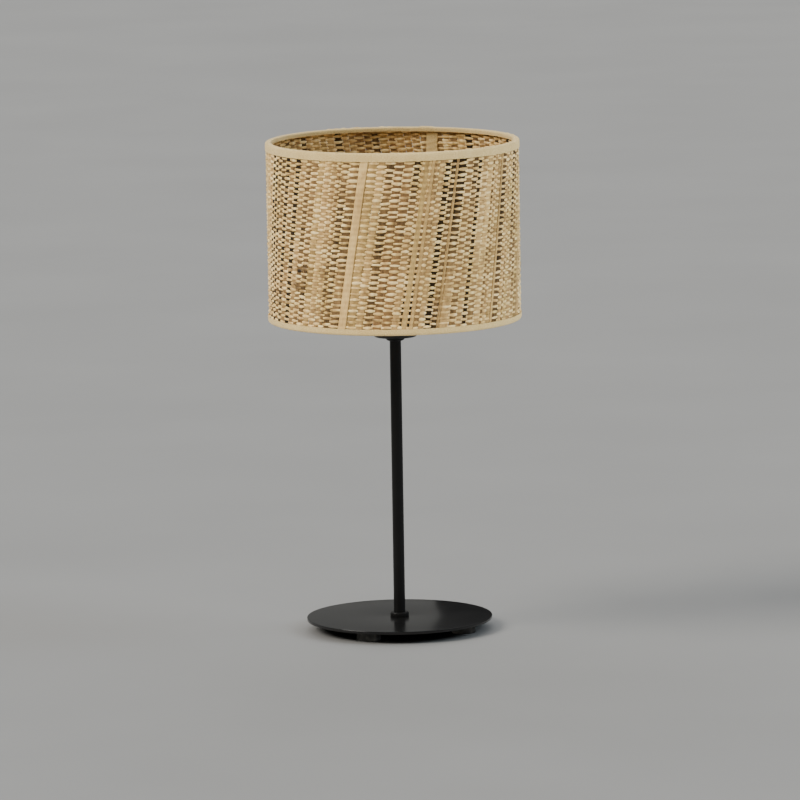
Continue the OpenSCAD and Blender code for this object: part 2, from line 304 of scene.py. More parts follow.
# %% Geometry trees
class GeometryTree:
    """A geometry tree with named inputs, and the few kinds of node that this lamp needs."""

    def __init__(self, name, **inputs):
        self.tree = bpy.data.node_groups.new(name, "GeometryNodeTree")
        side = self.tree.interface
        for way in ("INPUT", "OUTPUT"):
            side.new_socket("Geometry", in_out=way, socket_type="NodeSocketGeometry")
        self.values = inputs
        kinds = {int: "NodeSocketInt", float: "NodeSocketFloat"}
        for key, value in inputs.items():
            kind = kinds.get(type(value), "NodeSocketMaterial")
            side.new_socket(key, in_out="INPUT", socket_type=kind)
        source = self.tree.nodes.new("NodeGroupInput")
        self.given = source.outputs["Geometry"]
        self.inputs = {key: Field(self.tree, source.outputs[key]) for key in inputs}

    def node(self, kind, inputs=None, **settings):
        plain = {k: v.socket if isinstance(v, Field) else v for k, v in (inputs or {}).items()}
        return add(self.tree, kind, plain, **settings)

    def index(self):
        return Field(self.tree, self.node("GeometryNodeInputIndex").outputs["Index"])

    def named(self, name):
        found = self.node("GeometryNodeInputNamedAttribute", {"Name": name}, data_type="FLOAT")
        return Field(self.tree, found.outputs["Attribute"])

    def store(self, geometry, **values):
        for name, value in values.items():
            geometry = self.node("GeometryNodeStoreNamedAttribute", {
                "Geometry": geometry, "Name": name, "Value": value
            }, data_type="FLOAT", domain="POINT").outputs["Geometry"]
        return geometry

    def looked_up(self, geometry, name, index):
        """The named value of the point with that index, or of the nearest end if there is none."""
        found = self.node("GeometryNodeSampleIndex", {
            "Geometry": geometry, "Value": self.named(name), "Index": index
        }, data_type="FLOAT", domain="POINT", clamp=True)
        return Field(self.tree, found.outputs["Value"])

    def place(self, x, y, z):
        return self.node("ShaderNodeCombineXYZ", {"X": x, "Y": y, "Z": z}).outputs["Vector"]

    def noise(self, x, y, z):
        """Smooth noise about 0, mostly from -0.2 to 0.2."""
        made = self.node("ShaderNodeTexNoise", {
            "Vector": self.place(x, y, z), "Scale": 1.0, "Detail": 1.0
        })
        return Field(self.tree, made.outputs["Fac"]) - 0.5

    def position(self):
        place = self.node("GeometryNodeInputPosition").outputs["Position"]
        split = self.node("ShaderNodeSeparateXYZ", {"Vector": place})
        return [Field(self.tree, split.outputs[axis]) for axis in "XYZ"]

    def line_of(self, count):
        return self.node("GeometryNodeMeshLine", {
            "Count": count, "Offset": (0, 0, 0)
        }).outputs["Mesh"]

    def tube(self, sides, steps):
        """A closed tube of radius 1 and length 1 about Z, whose points a formula will place."""
        return self.node("GeometryNodeMeshCylinder", {
            "Vertices": sides, "Side Segments": steps, "Radius": 1.0, "Depth": 1.0
        }, fill_type="NGON").outputs["Mesh"]

    def copies(self, points, thing, selection=True):
        """One real copy of the thing for each point, with that point's values on it."""
        made = self.node("GeometryNodeInstanceOnPoints", {
            "Points": points, "Instance": thing, "Selection": selection
        }).outputs["Instances"]
        return self.node("GeometryNodeRealizeInstances", {"Geometry": made}).outputs["Geometry"]

    def wrap(self, geometry, radius, angle, level):
        """Moves each point to a radius and an angle round the lamp's axis, and a height."""
        return self.node("GeometryNodeSetPosition", {
            "Geometry": geometry,
            "Position": self.place(radius * angle.cos(), radius * angle.sin(), level)
        }).outputs["Geometry"]

    def end(self, geometry, material):
        """Realize Instances and Set Material come last, because an export drops instances."""
        real = self.node("GeometryNodeRealizeInstances", {"Geometry": geometry})
        smooth = self.node("GeometryNodeSetShadeSmooth", {"Geometry": real.outputs["Geometry"]})
        dressed = self.node("GeometryNodeSetMaterial", {
            "Geometry": smooth.outputs["Geometry"], "Material": material
        })
        sink = self.tree.nodes.new("NodeGroupOutput")
        self.tree.links.new(dressed.outputs["Geometry"], sink.inputs["Geometry"])


# %% From a tree to a plain piece
def settle(piece, body, replaced=()):
    """Puts a finished piece in the lamp: on the body that it moves with, and with the model nodes that
    it stands in for hidden.
    """
    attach(piece, body)
    if replaced:
        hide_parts(*replaced)
    print(piece.name, len(piece.data.polygons), "faces")
    return piece


def grow(tree, seed_mesh, name, body, slot, replaced=(), **changes):
    """Runs a geometry tree on seed_mesh and turns what it makes into a plain piece on a body."""
    holder = linked(name + "_seed", seed_mesh)
    modifier = holder.modifiers.new("grow", "NODES")
    modifier.node_group = tree.tree
    for item in tree.tree.interface.items_tree:
        if item.in_out == "INPUT" and item.name in tree.values:
            modifier[item.identifier] = changes.get(item.name, tree.values[item.name])
    ready = holder.evaluated_get(bpy.context.evaluated_depsgraph_get())
    mesh = bpy.data.meshes.new_from_object(ready)
    mesh.name = name
    holder.modifiers.remove(modifier)
    bpy.data.objects.remove(holder)
    return settle(linked(name, mesh), body, replaced)

# %% [markdown]
# ## Fibre
# The shade is woven from splints of dried natural fibre. Each strand has its own tone, from nearly
# black to cream, and fine lines that run along it. One pattern laid over the whole panel would be
# simpler, but it would cut across the strands. So they carry a `tone` from their geometry tree, and
# the place `along` and `across` the strand in millimetres, and the grain follows them.

# %% Fibre
STRAW = [
    (0.0, rgb(42, 32, 19)), (0.12, rgb(86, 67, 43)), (0.28, rgb(136, 108, 71)),
    (0.5, rgb(194, 159, 104)), (0.72, rgb(229, 194, 129)), (1.0, rgb(254, 228, 166)),
]


def attribute(tree, name):
    return add(tree, "ShaderNodeAttribute", attribute_name=name).outputs["Fac"]


def fibre(name, roughness, shine):
    material, tree, shader = new_material(name, Specular_IOR_Level=shine)
    place = add(tree, "ShaderNodeCombineXYZ", {
        "X": attribute(tree, "along"), "Y": attribute(tree, "across"), "Z": attribute(tree, "strand")
    }).outputs["Vector"]
    grain = noise_at(tree, place, 2.2, 4, (0.09, 1.5, 3.7))
    blotch = noise_at(tree, place, 1.0, 2, (0.12, 0.2, 1.9))
    tone = sum_of(tree, attribute(tree, "tone"), between(tree, grain, -0.09, 0.07))
    tone = sum_of(tree, tone, between(tree, blotch, -0.08, 0.06))
    tint = colour_ramp(tree, attribute(tree, "blush"), [
        (0.0, (0.96, 1.0, 0.90, 1)), (0.5, (1, 1, 1, 1)), (1.0, (1.0, 0.94, 0.93, 1))
    ])
    tinted = add(tree, "ShaderNodeMix", {
        "Factor": 1.0, "A": colour_ramp(tree, tone, STRAW), "B": tint
    }, data_type="RGBA", blend_type="MULTIPLY")
    tree.links.new(tinted.outputs[2], shader.inputs["Base Color"])
    tree.links.new(between(tree, grain, roughness + 0.1, roughness - 0.08),
                   shader.inputs["Roughness"])
    bump(tree, shader, grain, 0.12 * MM, 0.6)
    return material


weft_fibre = fibre("weft_fibre", 0.40, 0.36)
warp_fibre = fibre("warp_fibre", 0.56, 0.2)
print("fibre tones", len(STRAW))

# %% [markdown]
# ## The weaver's draft
# Seen from outside, the panel is made of slanting columns, one for each warp splint. Their looks vary:
# pale or brown splints, wide ones that lie on top of every weft, and nearly black ones that look like
# rows of holes. Their black is partly the splint's own dark colour and partly painted shade, which
# stands in for the shadow in the deep gaps between the wefts. Drawing them all at random would be
# shorter, but would lose the order that gives this shade its face. So a draft names the front's splints
# from left to right, as a weaver's draft does, and only the rest is drawn from the same kinds with a
# fixed seed.

# %% Kinds of splint
# fill: share of the column it covers. tone: colour of its middle, head: added towards the top, foot:
# added towards the bottom. stand: how far it stands out, in millimetres. top: 1 if it lies on every
# weft. blush: from 0, greenish, to 1, pinkish.
# Tones near 0, in the nearly black kinds and at the darkened ends of dots, upper and ends, are partly
# the splint's own dark colour and partly painted shade of the deep gaps between the wefts.
KIND_TABLE = """
kind   fill  tone  head foot stand top blush
pale   0.93  0.41     0    0  0.02   0   0.5
cream  0.92  0.50     0    0  0.06   0   0.4
yellow 0.94  0.43     0    0  0.20   0   0.1
tan    0.94  0.42     0    0  0.34   0   0.5
brown  0.97  0.28     0    0   0.0   0   0.6
dark   0.97  0.20     0    0   0.0   0   0.6
deep   0.86  0.05     0    0   0.0   0   0.5
pink   0.98  0.29     0    0  0.15   0   1.0
fading 0.97  0.26  -0.2  0.2  0.05   0   0.6
strip  0.99  0.74     0    0  0.42   1   0.5
ash    0.96  0.40     0    0  0.05   0   0.3
grey   0.98  0.50 -0.08    0  0.42   1  0.15
lath   0.92  0.50     0    0  0.42   1   0.4
dots   0.92  0.28   0.3 -0.4 -0.05   0   0.5
smoked 0.92 -0.02     0    0 -0.05   0   0.5
upper  0.92  0.17  -0.2 0.28 -0.05   0   0.5
ends   0.92  0.20  -0.3 -0.3 -0.05   0   0.5
"""
heading, *lines = [line.split() for line in KIND_TABLE.strip().splitlines()]
KINDS = {kind: dict(zip(heading[1:], map(float, values))) for kind, *values in lines}
print("kinds of splint", len(KINDS))

# %% The draft
# Each splint of the front: its kind, and its width in millimetres.
DRAFT = """
deep 6.6 deep 7 deep 7 dark 7.4 deep 8
brown 8 smoked 8.4 pale 7 dark 7.5 dark 8 yellow 8 pale 7.5 pale 6.5 brown 3.6 dark 8.4 dark 9.9
strip 8.8 yellow 9.6 cream 7.6 dark 9.4 pink 8.6 pink 9.8 fading 8 dots 1.8 grey 5.6 dots 2.2 lath 3.6
tan 5.2 tan 5.4 smoked 7.2 ends 5.8 lath 2.4 upper 10.6 brown 7.6 fading 6.7 smoked 5.2 pale 8.6
cream 8.2 brown 3.2 pale 4.6 ash 6.2 lath 3.4 dark 9.6 pale 5 brown 3.4 yellow 6
""".split()
FRONT_STARTS = math.radians(-75.4)
COLUMNS = 104
draw = random.Random(11)

front = [(kind, float(width)) for kind, width in zip(DRAFT[::2], DRAFT[1::2])]
others = ["pale"] * 8 + ["cream"] * 4 + ["yellow"] * 3 + ["tan"] * 2 + ["brown"] * 5
others += ["dark"] * 3 + ["pink"] * 3 + ["fading"] * 2 + ["strip"] + ["lath"] * 2
others += ["smoked", "upper", "ends"]
rest = [(draw.choice(others), draw.uniform(6, 9.4)) for _ in range(COLUMNS - len(front))]

panel_low, panel_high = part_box("shade_panel")
panel_outer = panel_high.x
circumference = 2 * math.pi * panel_outer / MM
spare = circumference - sum(width for _, width in front)
stretch = spare / sum(width for _, width in rest)
rest = [(kind, width * stretch) for kind, width in rest]
print("front", len(front), "columns in", round(circumference - spare), "mm; rest",
      len(rest), "columns in", round(spare), "mm")

# %% Column points
# The list starts at the seam tape, where the panel's two edges meet. One point stands for each column,
# and a last one repeats the first after a full turn. An angle is counted from +X, so the front is -90.
seam_low, seam_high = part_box("seam_tape")
SEAM_ANGLE = math.atan2(seam_low.y + seam_high.y, seam_low.x + seam_high.x)
front_angle = FRONT_STARTS - math.pi / 2
to_front = (front_angle - SEAM_ANGLE) % (2 * math.pi) * panel_outer / MM
before = []
while to_front > 4:
    kind, width = rest.pop()
    before.append((kind, width))
    to_front -= width
columns = before[::-1] + front + rest

angle = front_angle - sum(width for _, width in before) / circumference * 2 * math.pi
records = []
for kind, width in columns:
    turn = width / circumference * 2 * math.pi
    splint = dict(KINDS[kind], angle=angle + turn / 2, width=width, strand=draw.uniform(0, 50))
    splint["tone"] += draw.uniform(-0.05, 0.05)
    records.append(splint)
    angle += turn
records.append(dict(records[0], angle=records[0]["angle"] + 2 * math.pi))

plan = bpy.data.meshes.new("column_plan")
plan.from_pydata([(0, 0, 0)] * len(records), [], [])
for key in records[0]:
    layer = plan.attributes.new(key, "FLOAT", "POINT")
    layer.data.foreach_set("value", [float(r[key]) for r in records])
print("seam at", round(math.degrees(SEAM_ANGLE)), "degrees, columns before the front", len(before))

# %% [markdown]
# ## Weft
# The wefts are the level strands, soft and round. Bevelled curves could make them, but their points
# would have to be worked out one by one. Here each starts as a straight tube of unit size, cut into a
# few steps for each column, and the tree bends it round the drum: outwards over a splint, inwards
# behind the next, thick where it swells out and thin where it slips between two.

# %% Weft tree
STEPS_PER_COLUMN = 6
ROWS = 64
row_pitch = (panel_high.z - panel_low.z) / ROWS
WEAVE_INSET = 1.05 * MM
middle_radius = panel_outer - WEAVE_INSET
mid_height = (panel_low.z + panel_high.z) / 2
SLANT = math.tan(math.radians(9.0))

weft = GeometryTree(
    "weft", rows=ROWS, first_row=0, row_pitch=row_pitch, low=panel_low.z, middle=mid_height,
    radius=middle_radius, swing=0.78 * MM, half_height=1.45 * MM, half_thickness=0.66 * MM,
    slant=SLANT, material=weft_fibre
)
g = weft.inputs
strands = weft.store(weft.line_of(g["rows"]), row=weft.index() + g["first_row"])
strands = weft.copies(strands, weft.tube(8, COLUMNS * STEPS_PER_COLUMN))

row = weft.named("row")
out, side, length = weft.position()
column = (length + 0.5) * COLUMNS
here = (column + 0.0001).math("FLOOR")
share = (column - here).math("MAXIMUM", 0)
ease = (share * math.pi).cos() * -0.5 + 0.5


def weft_lift(number):
    """1 where the weft passes over that column's splint, and -1 where it passes behind."""
    over = (number + row).math("FLOORED_MODULO", 2) * -2 + 1
    always_behind = over * 0 - 1
    return over.towards(always_behind, weft.looked_up(weft.given, "top", number))


lift = weft_lift(here).towards(weft_lift(here + 1), ease)
angle = weft.looked_up(weft.given, "angle", here).towards(
    weft.looked_up(weft.given, "angle", here + 1), share)
swell = lift * lift

wander = weft.noise(angle * 2.2, row * 0.9, row * 0.31)
jog = weft.noise(angle * 9, row * 1.3, row * 0.77)
fatness = weft.noise(angle * 11, row * 3.1, row * 1.7)
level = g["low"] + (row + 0.5 + wander * 0.9 + jog * 0.8) * g["row_pitch"]
turned = angle + (level - g["middle"]) * g["slant"] / g["radius"]
tall = g["half_height"] * (swell * 0.22 + 0.78) * (fatness * 1.3 + 1)
thick = g["half_thickness"] * (swell * 0.35 + 0.65) * (fatness * 1.2 + 1)
radius = g["radius"] + g["swing"] * lift + thick * out

# %% Weft tones
# A smudge is a stained spot: degrees from the front, height in metres above the panel's lower edge,
# reach to either side in millimetres, and how much darker its middle is.
SMUDGES = ((-57, 0.060, 5, 0.45), (-52.5, 0.060, 6, 0.45), (-46.5, 0.060, 6, 0.45),
           (-42.5, 0.060, 4, 0.45), (-49, 0.044, 9, 0.20), (-44, 0.044, 9, 0.20))
patchy = weft.noise(angle * 3.0, level * 16, row * 0.05)
streaky = weft.noise(angle * 1.3, row * 5.3, row * 2.9)
speckled = weft.noise(angle * 23, row * 7.7, 0.0)
tone = patchy * 0.45 + streaky * 0.9 + speckled * 1.35 + 0.77
for degrees, height, reach, depth in SMUDGES:
    beside = (angle - math.radians(degrees - 90)) * (panel_outer / MM / reach)
    above = (level - (panel_low.z + height)) * (1.2 / MM / reach)
    spot = (beside * beside + above * above) * -1 + 1
    tone = tone - spot.math("MAXIMUM", 0) * depth
strands = weft.store(
    strands, along=angle * (panel_outer / MM), across=side * (tall / MM) + out * 0.7,
    strand=row * 3.3, tone=tone, blush=patchy * 1.5 + streaky + 0.5
)
strands = weft.wrap(strands, radius, turned, level + tall * side)
weft.end(strands, g["material"])

# %% Weft strands
WEFT_PIECES = 4
for part in range(WEFT_PIECES):
    grow(weft, plan, f"weft_{part + 1}", "shade", "woven_fibre", ("shade_panel",),
         rows=ROWS // WEFT_PIECES, first_row=part * ROWS // WEFT_PIECES)

# %% [markdown]
# ## Warp
# The warps are the flat, stiff splints that run up the panel, leaning a little. They hardly bend: it is
# the wefts that go round them. A splint that lies on top stays outside every weft. Flat strips with no
# thickness would do from afar, but their edges show in the gaps, so each is a flattened closed tube.

# %% Warp tree
STEPS_PER_ROW = 3
warp = GeometryTree(
    "warp", row_pitch=row_pitch, low=panel_low.z, middle=mid_height, radius=middle_radius,
    swing=0.1 * MM, half_thickness=0.22 * MM, slant=SLANT, first=0, last=COLUMNS,
    material=warp_fibre
)
g = warp.inputs
number = warp.index()
wanted = (number + 0.5).math("GREATER_THAN", g["first"]) \
    * (number + 0.5).math("LESS_THAN", g["last"])
splints = warp.store(warp.given, number=number)
splints = warp.copies(splints, warp.tube(8, ROWS * STEPS_PER_ROW), wanted)

out, side, length = warp.position()
number = warp.named("number")
height = (length + 0.5) * ROWS
wave = ((height - 0.5 + number + 1) * math.pi).cos()
level = g["low"] + height * g["row_pitch"]
wander = warp.noise(level * 14, number * 1.7, number * 0.3)
half_width = warp.named("width") * warp.named("fill") * (wander * 0.25 + 1) * (0.5 * MM)
angle = warp.named("angle") + (level - g["middle"]) * g["slant"] / g["radius"]
turned = angle + (half_width * side + wander * (0.8 * MM)) / g["radius"]
bow = warp.named("stand") * MM + g["swing"] * wave * (warp.named("top") * -0.4 + 1)
radius = g["radius"] + bow + g["half_thickness"] * out

reach = length * 2
patchy = warp.noise(number * 0.37, level * 13, number * 1.1)
# A splint that lies on top is painted a little lighter where it bows out and darker where it dips in:
# painted light and shade along its bow.
bow_light_and_shade = wave * warp.named("top") * 0.05
tone = warp.named("tone") + patchy * 0.5 + bow_light_and_shade + reach.math("MAXIMUM", 0) * warp.named("head") \
    - reach.math("MINIMUM", 0) * warp.named("foot")
splints = warp.store(splints, along=level * (1 / MM), across=side * (half_width / MM) + out,
                     tone=tone)
splints = warp.wrap(splints, radius, turned, level)
warp.end(splints, g["material"])

# %% Warp splints
for part, (first, last) in enumerate(((0, COLUMNS // 2), (COLUMNS // 2, COLUMNS))):
    grow(warp, plan, f"warp_{part + 1}", "shade", "woven_fibre", first=first, last=last)

# %% [markdown]
# ## Loose fibres
# A natural weave is never quite tidy: thin fibres split off and stand up here and there. Hair
# particles would be quick to scatter, but they aren't solid. So each is a tapered tube, placed and bent
# by its own random numbers, which depend only on its index and the seed.

# %% Fibre tree
hairs = GeometryTree(
    "hairs", count=150, seed=5, low=panel_low.z, high=panel_high.z, radius=panel_outer + 0.15 * MM,
    thickness=0.16 * MM, material=weft_fibre
)
g = hairs.inputs


def chance(salt, low, high):
    made = hairs.node("FunctionNodeRandomValue", {
        "Min": low, "Max": high, "Seed": g["seed"] + salt, "ID": hairs.index()
    }, data_type="FLOAT")
    return Field(hairs.tree, made.outputs["Value"])


points = hairs.store(
    hairs.line_of(g["count"]), start=chance(1, -math.pi, math.pi), height=chance(2, 0.02, 1.0),
    heading=chance(3, -math.pi, math.pi), reach=chance(4, 3 * MM, 10 * MM),
    rise=chance(5, 0.1 * MM, 2.2 * MM), tone=chance(6, 0.3, 0.9)
)
hair = hairs.copies(points, hairs.tube(5, 6))
out, side, length = hairs.position()
along = length + 0.5
reach = hairs.named("reach") * along
thin = g["thickness"] * (along * -0.8 + 1)
level = g["low"] + hairs.named("height") * (g["high"] - g["low"]) \
    + reach * hairs.named("heading").sin() + thin * side
radius = g["radius"] + hairs.named("rise") * along * along + thin * out
turned = hairs.named("start") + reach * hairs.named("heading").cos() / g["radius"] \
    + thin * side / g["radius"]
hair = hairs.store(hair, along=along * 20, across=side * 0.2, strand=hairs.named("start") * 9,
                   blush=length * 0 + 0.5)
hair = hairs.wrap(hair, radius, turned, level)
hairs.end(hair, g["material"])
grow(hairs, plan, "loose_fibres", "shade", "woven_fibre", seed=5)

# %% [markdown]
# ## Edge tapes
# A cream cotton tape is folded over each rim, round the wire inside, and glued down. A lathe would give
# a perfect ring, but a real tape has a wavy edge, notches for the arms and a lap. So its section, one
# line from the outside edge over the fold to the inside edge, is given the tape's thickness and carried
# round the drum past its own start, changing on the way. The last stretch lies on the first.

# %% Tape finish
tape_cloth, tree, shader = new_material(
    "tape_cloth", Specular_IOR_Level=0.3, Sheen_Weight=0.15, Sheen_Roughness=0.5)
place = add(tree, "ShaderNodeCombineXYZ", {
    "X": attribute(tree, "along"), "Y": attribute(tree, "across")
}).outputs["Vector"]
THREADS_PER_MM = 1.6
threads = [add(tree, "ShaderNodeTexWave", {
    "Vector": place, "Scale": THREADS_PER_MM * 20 / (2 * math.pi), "Distortion": 0.6, "Detail": 1
}, bands_direction=direction).outputs["Fac"] for direction in "XY"]
cloth = sum_of(tree, threads[0], threads[1])
stain = noise_at(tree, place, 0.06, 3)
fleck = noise_at(tree, place, 1.4, 3, (0.5, 1, 1))
mixed = sum_of(tree, between(tree, stain, -0.05, 0.05), fleck)
mixed = sum_of(tree, mixed, between(tree, cloth, -0.04, 0.04, 0.4, 1.6))
paint(tree, shader, mixed, (199, 167, 105), (224, 195, 133), (239, 214, 154))
tree.links.new(between(tree, fleck, 0.72, 0.86), shader.inputs["Roughness"])
bump(tree, shader, sum_of(tree, cloth, fleck), 0.09 * MM, 0.55)

# %% Tape makers
draw_tape = random.Random(4)
STEPS_ROUND = 420
HALF_TAPE = 0.3
LAP = 12.0
LAP_RISE = 0.15
FLAP_INSET = 4


def ripple(size):
    """A small periodic wobble of a given size, as a function of the angle."""
    waves = [(k, draw_tape.uniform(0, 2 * math.pi)) for k in (3, 5, 8, 13, 21)]
    return lambda a: size * sum(math.sin(k * a + p) / k for k, p in waves)


def around(radius, turn, height):
    """The place in metres of a point given in millimetres by its distance and angle from the axis."""
    return radius * math.cos(turn) * MM, radius * math.sin(turn) * MM, height * MM


def offset_line(points, distance):
    """The line moved to its left by distance, corner by corner."""
    moved = []
    for i, point in enumerate(points):
        before_it, after_it = points[max(i - 1, 0)], points[min(i + 1, len(points) - 1)]
        run, rise = after_it[0] - before_it[0], after_it[1] - before_it[1]
        length = math.hypot(run, rise)
        moved.append((point[0] - rise / length * distance, point[1] + run / length * distance))
    return moved


def edge_tape(name, line, rim, upward, flap_of, replaced):
    """line: (radius, depth below the rim) in millimetres. flap_of: how much of the inner flap is
    left at an angle, where it is notched for an arm."""
    lap = LAP / line[0][0]
    edge_wave, swell_wave = ripple(0.22), ripple(0.12)
    last = STEPS_ROUND
    verts, faces, along, across = [], [], [], []
    inner_start = next(i for i, p in enumerate(line) if p[0] < line[0][0] - FLAP_INSET)
    for step in range(last + 1):
        turn = SEAM_ANGLE + step / last * (2 * math.pi + lap)
        over = min(max((turn - SEAM_ANGLE - 2 * math.pi) / (LAP_RISE * lap) + 1, 0), 1)
        shift = over * (2 * HALF_TAPE + 0.05)
        path = []
        for i, (radius, depth) in enumerate(line):
            if i == 0:
                depth += edge_wave(turn)
            if i > inner_start:
                depth = line[inner_start][1] + (depth - line[inner_start][1]) * flap_of(turn)
            path.append((radius + swell_wave(turn) * (i / len(line)), depth))
        section = offset_line(path, HALF_TAPE + shift)
        section += offset_line(path, shift - HALF_TAPE)[::-1]
        walked = 0
        for i, (radius, depth) in enumerate(section):
            height = rim / MM - depth * upward
            verts.append(around(radius, turn, height))
            if i:
                walked += math.dist(section[i], section[i - 1]) * (1 if i < len(line) else -1)
            along.append(turn * line[0][0])
            across.append(walked)
    count = 2 * len(line)
    for step in range(last):
        for i in range(count):
            a, b = step * count + i, step * count + (i + 1) % count
            faces.append((a, b, b + count, a + count))
    faces += [tuple(range(count)), tuple(last * count + i for i in range(count))[::-1]]
    return cloth_piece(name, verts, faces, along, across, replaced)


def cloth_piece(name, verts, faces, along, across, replaced):
    mesh = bpy.data.meshes.new(name)
    mesh.from_pydata(verts, [], faces)
    for key, values in (("along", along), ("across", across)):
        mesh.attributes.new(key, "FLOAT", "POINT").data.foreach_set("value", values)
    tidy = bmesh.new()
    tidy.from_mesh(mesh)
    bmesh.ops.recalc_face_normals(tidy, faces=tidy.faces)
    tidy.to_mesh(mesh)
    tidy.free()
    mesh.shade_smooth()
    mesh.set_sharp_from_angle(angle=math.radians(50))
    mesh.materials.append(tape_cloth)
    return settle(linked(name, mesh), "shade", replaced)


# %% The two tapes
def fold_line(outside):
    """Centre line of the folded tape for a given height outside, from the rim down."""
    down = [(124.85, outside * k) for k in (1.0, 0.97, 0.7, 0.45)]
    fold = [(124.8, 2.4), (124.55, 1.3), (124.0, 0.75), (123.0, 0.42), (121.9, 0.32), (120.6, 0.38),
            (119.6, 0.7), (119.05, 1.3), (118.9, 2.1)]
    return down + fold + [(118.88, 3.0), (118.86, 4.1), (118.86, 4.3)]


rim_top, rim_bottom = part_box("top_trim")[1].z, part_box("bottom_trim")[0].z
ARM_ANGLES = [math.radians(30 + 120 * k) for k in range(3)]
FLAP_RADIUS, NOTCH_HALF, NOTCH_RUN, NOTCH_LEFT = 119, 2.6, 1.6, 0.3


def notched(angle):
    """The share of the flap that is left: all of it, less near an arm of the wire frame."""
    nearest = min(abs((angle - arm + math.pi) % (2 * math.pi) - math.pi) for arm in ARM_ANGLES)
    clear = min(max((nearest * FLAP_RADIUS - NOTCH_HALF) / NOTCH_RUN, 0), 1)
    return NOTCH_LEFT + (1 - NOTCH_LEFT) * clear


top_tape = edge_tape("top_tape", fold_line(8.2), rim_top, 1, lambda angle: 1, ("top_trim",))
bottom_tape = edge_tape("bottom_tape", fold_line(6.5), rim_bottom, -1, notched, ("bottom_trim",))

# %% [markdown]
# ## The tape over the joint
# Inside, one upright tape covers the joint where the panel's two edges meet. It is thin enough to show
# the wefts beneath it as faint ridges. Draping cloth over the weave would find those ridges too, but
# the weave's pitch is known, so a cosine puts them on a plain grid.

# %% Seam tape
SEAM_ROWS, SEAM_ACROSS = 260, 12
seam_width = 12.0
side_wave, other_wave = ripple(0.5), ripple(0.5)
verts, faces, along, across = [], [], [], []
for layer, depth in enumerate((121.75, 121.35)):
    for i in range(SEAM_ROWS + 1):
        rise = i / SEAM_ROWS
        level = seam_low.z / MM + rise * (seam_high.z - seam_low.z) / MM
        for j in range(SEAM_ACROSS + 1):
            share = j / SEAM_ACROSS
            edge = side_wave(rise * 9) * (1 - share) + other_wave(rise * 8) * share
            offset = (share - 0.5) * seam_width + edge
            ridge = 0.12 * math.cos(2 * math.pi * level / (row_pitch / MM) / 2 + offset * 0.35)
            lift = 0.25 * abs(2 * share - 1) ** 6
            radius = depth + ridge + lift
            turn = SEAM_ANGLE + offset / radius
            verts.append(around(radius, turn, level))
            along.append(level)
            across.append(offset)
ROW_LENGTH = SEAM_ACROSS + 1
LAYER = (SEAM_ROWS + 1) * ROW_LENGTH
for i in range(SEAM_ROWS):
    for j in range(SEAM_ACROSS):
        a = i * ROW_LENGTH + j
        quad = (a, a + 1, a + 1 + ROW_LENGTH, a + ROW_LENGTH)
        faces += [quad, tuple(v + LAYER for v in quad[::-1])]
outline = list(range(ROW_LENGTH))
outline += [i * ROW_LENGTH + SEAM_ACROSS for i in range(1, SEAM_ROWS + 1)]
outline += [SEAM_ROWS * ROW_LENGTH + j for j in range(SEAM_ACROSS - 1, -1, -1)]
outline += [i * ROW_LENGTH for i in range(SEAM_ROWS - 1, 0, -1)]
for a, b in zip(outline, outline[1:] + outline[:1]):
    faces.append((a, b, b + LAYER, a + LAYER))
joint_tape = cloth_piece("joint_tape", verts, faces, along, across, ("seam_tape",))

# %% [markdown]
# ## Turned parts
# The base, the feet, the collars and the lampholder are all round about a vertical line, so each is one
# outline turned like work on a lathe. A Screw modifier could turn them too, but not with a radius that
# also depends on the angle, which is what a thread needs. Real edges are never knife sharp, so `eased`
# rounds the corners of the outline first.

# %% Lathe
def eased(corners, radius, steps=4):
    """A closed outline of (radius, height) corners with each corner rounded off, in millimetres."""
    outline = []
    for i, corner in enumerate(corners):
        here = Vector(corner)
        back, ahead = Vector(corners[i - 1]) - here, Vector(corners[(i + 1) % len(corners)]) - here
        if here.x == 0:
            outline.append(tuple(here))
            continue
        cut = min(radius, back.length * 0.45, ahead.length * 0.45)
        first, last = here + back.normalized() * cut, here + ahead.normalized() * cut
        for k in range(steps + 1):
            t = k / steps
            outline.append(tuple(first * (1 - t) ** 2 + here * 2 * t * (1 - t) + last * t ** 2))
    return outline


def lathe(name, outline, finish, body, replaced, centre=(0, 0), steps=192, groove=None):
    work = bmesh.new()
    rings = []
    for k in range(steps):
        turn = 2 * math.pi * k / steps
        ring = []
        for radius, height in outline:
            cut = groove(turn, radius, height) if groove else 0
            x = centre[0] + (radius + cut) * math.cos(turn)
            y = centre[1] + (radius + cut) * math.sin(turn)
            ring.append(work.verts.new((x * MM, y * MM, height * MM)))
        rings.append(ring)
    for k, ring in enumerate(rings):
        ahead = rings[(k + 1) % steps]
        for i in range(len(outline)):
            j = (i + 1) % len(outline)
            if outline[i][0] > 0 or outline[j][0] > 0:
                work.faces.new((ring[i], ahead[i], ahead[j], ring[j]))
    bmesh.ops.remove_doubles(work, verts=work.verts, dist=0.001 * MM)
    bmesh.ops.recalc_face_normals(work, faces=work.faces)
    mesh = bpy.data.meshes.new(name)
    work.to_mesh(mesh)
    work.free()
    mesh.shade_smooth()
    mesh.set_sharp_from_angle(angle=math.radians(38))
    mesh.materials.append(finish)
    return settle(linked(name, mesh), body, replaced)

# %% [markdown]
# ## Black powder coat
# Powder paint melts into a skin that is smooth to the eye but faintly pebbled, like orange peel, so its
# gloss is soft. Displacing the mesh would cost far too many faces for a pebble of a few hundredths of a
# millimetre, so bump gives it. A few specks of dust keep a large black surface from looking empty.

